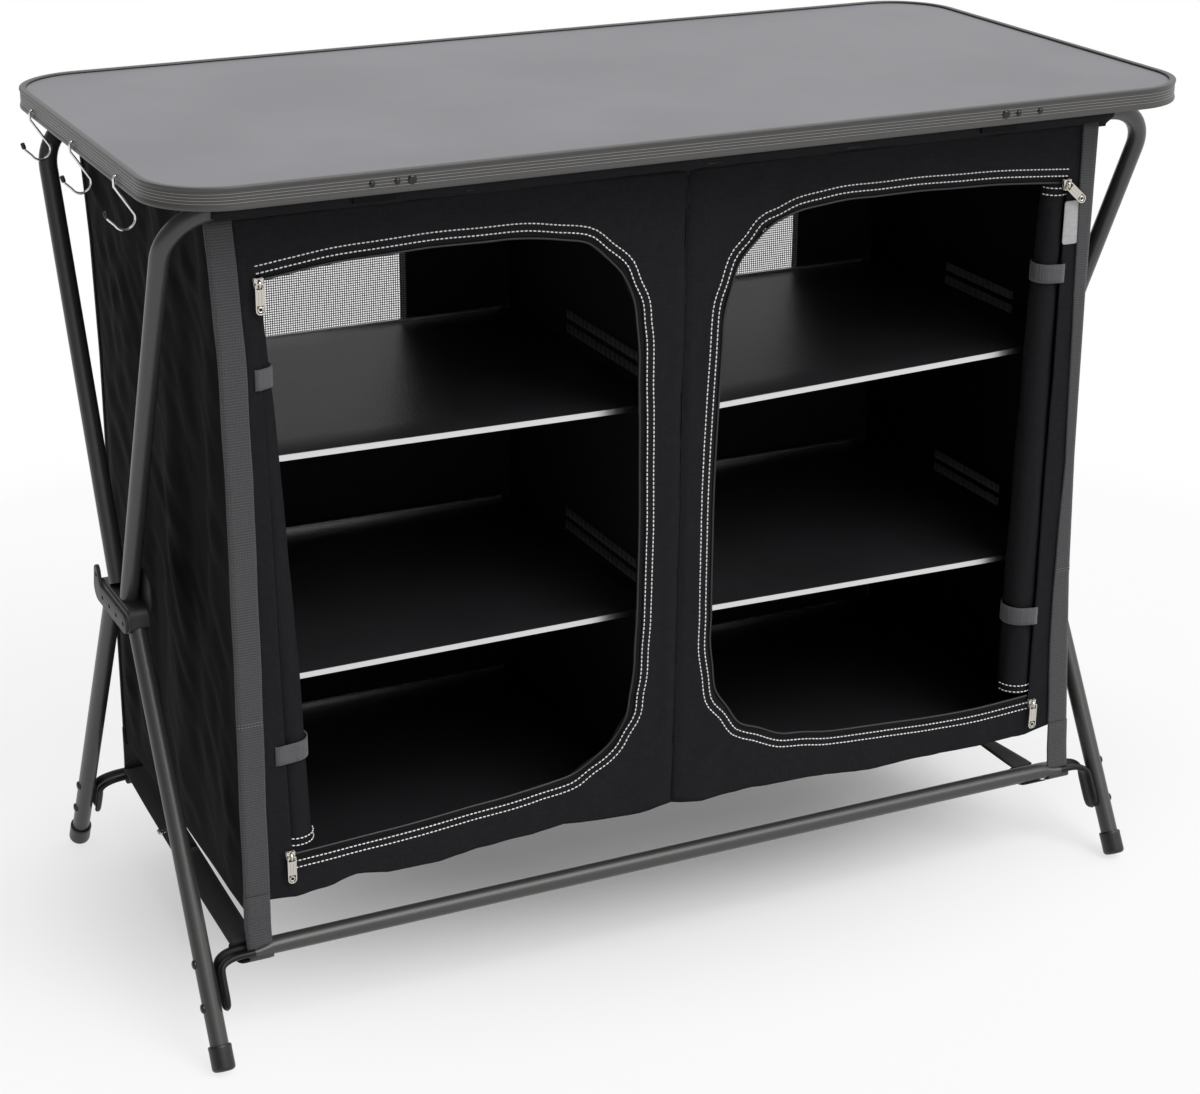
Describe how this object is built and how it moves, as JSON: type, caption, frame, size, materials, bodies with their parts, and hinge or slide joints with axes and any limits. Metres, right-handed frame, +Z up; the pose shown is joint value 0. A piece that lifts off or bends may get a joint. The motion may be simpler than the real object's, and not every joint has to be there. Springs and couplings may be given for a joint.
{
  "type": "camping cupboard",
  "caption": "Folding camping cupboard: rigid table top on a tube frame, with a hanging cloth body, roll-up doors, shelves and mesh rear windows.",
  "frame": {"origin": "on the floor, under the middle of the table top", "axes": "+X to the cupboard's right seen from the door side, +Y to the rear, +Z up"},
  "size_m": [1.0631, 0.516, 0.845],
  "materials": {
    "laminate": "grey laminate on a light board, satin",
    "grey_aluminium": "dark grey anodised, satin",
    "chrome_wire": "bright plated",
    "powder_coat": "dark grey textured powder coat",
    "black_plastic": "fine texture",
    "black_rubber": "matte",
    "black_polyester": "coated plain weave",
    "grey_mesh": "fine open mesh",
    "grey_webbing": "ribbed webbing",
    "black_webbing": "ribbed webbing",
    "black_board": "pebbled",
    "nickel": "satin nickel",
    "silver_tag": "woven, bare"
  },
  "bodies": {
    "cloth_body": {"left_joint_outer": "black_plastic", "left_joint_inner": "black_plastic", "right_joint_outer": "black_plastic", "right_joint_inner": "black_plastic", "front_panel": "black_polyester", "rear_panel": "black_polyester", "side_and_floor_cloth": "black_polyester", "divider": "black_polyester", "left_rolled_door": "black_polyester", "right_rolled_door": "black_polyester", "left_mesh_window": "grey_mesh", "right_mesh_window": "grey_mesh", "front_left_strap": "grey_webbing", "front_right_strap": "grey_webbing", "rear_left_strap": "grey_webbing", "rear_right_strap": "grey_webbing", "left_base_strap": "black_webbing", "right_base_strap": "black_webbing", "left_buckle": "nickel", "right_buckle": "nickel", "sewn_tag": "silver_tag", "lower_left_shelf": "black_board", "upper_left_shelf": "black_board", "lower_right_shelf": "black_board", "upper_right_shelf": "black_board", "left_floor_board": "black_board", "right_floor_board": "black_board"},
    "front_upper": {"front_upper_frame": "powder_coat"},
    "rear_upper": {"rear_upper_frame": "powder_coat"},
    "front_lower": {"front_rail": "powder_coat", "front_left_leg": "powder_coat", "front_right_leg": "powder_coat", "front_left_foot": "black_rubber", "front_right_foot": "black_rubber"},
    "rear_lower": {"rear_rail": "powder_coat", "rear_left_leg": "powder_coat", "rear_right_leg": "powder_coat", "rear_left_foot": "black_rubber", "rear_right_foot": "black_rubber"},
    "tabletop": {"tabletop_board": "laminate", "tabletop_edge": "grey_aluminium", "left_edge_rivets": "nickel", "right_edge_rivets": "nickel", "left_front_catch": "black_plastic", "left_rear_catch": "black_plastic", "right_front_catch": "black_plastic", "right_rear_catch": "black_plastic"},
    "hook_rear": {"rear_hook": "chrome_wire"},
    "hook_middle": {"middle_hook": "chrome_wire"},
    "hook_front": {"front_hook": "chrome_wire"},
    "slider_upper_left": {"upper_left_zip_slider": "nickel"},
    "slider_lower_left": {"lower_left_zip_slider": "nickel"},
    "slider_upper_right": {"upper_right_zip_slider": "nickel"},
    "slider_lower_right": {"lower_right_zip_slider": "nickel"},
    "pull_upper_left": {"upper_left_zip_pull": "nickel"},
    "pull_lower_left": {"lower_left_zip_pull": "nickel"},
    "pull_upper_right": {"upper_right_zip_pull": "nickel"},
    "pull_lower_right": {"lower_right_zip_pull": "nickel"}
  },
  "joints": [
    {"name": "fold", "type": "hinge", "parent": "cloth_body", "child": "front_upper", "pos_m": [0, -0.0279, 0.4185], "axis": [-1, 0, 0], "range_deg": [0, 20]},
    {"name": "rear_upper_fold", "type": "hinge", "parent": "cloth_body", "child": "rear_upper", "pos_m": [0, 0.0279, 0.4185], "axis": [1, 0, 0], "range_deg": [0, 20]},
    {"name": "front_lower_fold", "type": "hinge", "parent": "cloth_body", "child": "front_lower", "pos_m": [0, -0.02934, 0.3915], "axis": [1, 0, 0], "range_deg": [0, 24]},
    {"name": "rear_lower_fold", "type": "hinge", "parent": "cloth_body", "child": "rear_lower", "pos_m": [0, 0.02934, 0.3915], "axis": [-1, 0, 0], "range_deg": [0, 24]},
    {"name": "tabletop_tilt", "type": "hinge", "parent": "rear_upper", "child": "tabletop", "pos_m": [0, 0.2, 0.8125], "axis": [-1, 0, 0], "range_deg": [0, 80]},
    {"name": "rear_hook_swing", "type": "hinge", "parent": "tabletop", "child": "hook_rear", "pos_m": [-0.525, 0.15, 0.833], "axis": [1, 0, 0], "range_deg": [-35, 35]},
    {"name": "middle_hook_swing", "type": "hinge", "parent": "tabletop", "child": "hook_middle", "pos_m": [-0.525, 0.008, 0.833], "axis": [1, 0, 0], "range_deg": [-35, 35]},
    {"name": "front_hook_swing", "type": "hinge", "parent": "tabletop", "child": "hook_front", "pos_m": [-0.525, -0.132, 0.833], "axis": [1, 0, 0], "range_deg": [-35, 35]},
    {"name": "upper_left_zip_slide", "type": "slide", "parent": "cloth_body", "child": "slider_upper_left", "axis": [1, 0, 0], "range_m": [0, 0.28]},
    {"name": "lower_left_zip_slide", "type": "slide", "parent": "cloth_body", "child": "slider_lower_left", "axis": [1, 0, 0], "range_m": [0, 0.28]},
    {"name": "upper_right_zip_slide", "type": "slide", "parent": "cloth_body", "child": "slider_upper_right", "axis": [-1, 0, 0], "range_m": [0, 0.28]},
    {"name": "lower_right_zip_slide", "type": "slide", "parent": "cloth_body", "child": "slider_lower_right", "axis": [-1, 0, 0], "range_m": [0, 0.28]},
    {"name": "upper_left_pull_flip", "type": "hinge", "parent": "slider_upper_left", "child": "pull_upper_left", "pos_m": [-0.416, -0.2073, 0.744], "axis": [-1, 0, 0], "range_deg": [0, 100]},
    {"name": "lower_left_pull_flip", "type": "hinge", "parent": "slider_lower_left", "child": "pull_lower_left", "pos_m": [-0.416, -0.2073, 0.18], "axis": [-1, 0, 0], "range_deg": [0, 100]},
    {"name": "upper_right_pull_flip", "type": "hinge", "parent": "slider_upper_right", "child": "pull_upper_right", "pos_m": [0.416, -0.2073, 0.744], "axis": [-0.6691, 0, -0.7431], "range_deg": [0, 100]},
    {"name": "lower_right_pull_flip", "type": "hinge", "parent": "slider_lower_right", "child": "pull_lower_right", "pos_m": [0.416, -0.2073, 0.18], "axis": [-1, 0, 0], "range_deg": [0, 100]}
  ],
  "couplings": [
    {"joint": "rear_upper_fold", "follows": "fold", "ratio": 1},
    {"joint": "front_lower_fold", "follows": "fold", "ratio": 1.2},
    {"joint": "rear_lower_fold", "follows": "fold", "ratio": 1.2},
    {"joint": "tabletop_tilt", "follows": "fold", "ratio": 4}
  ]
}
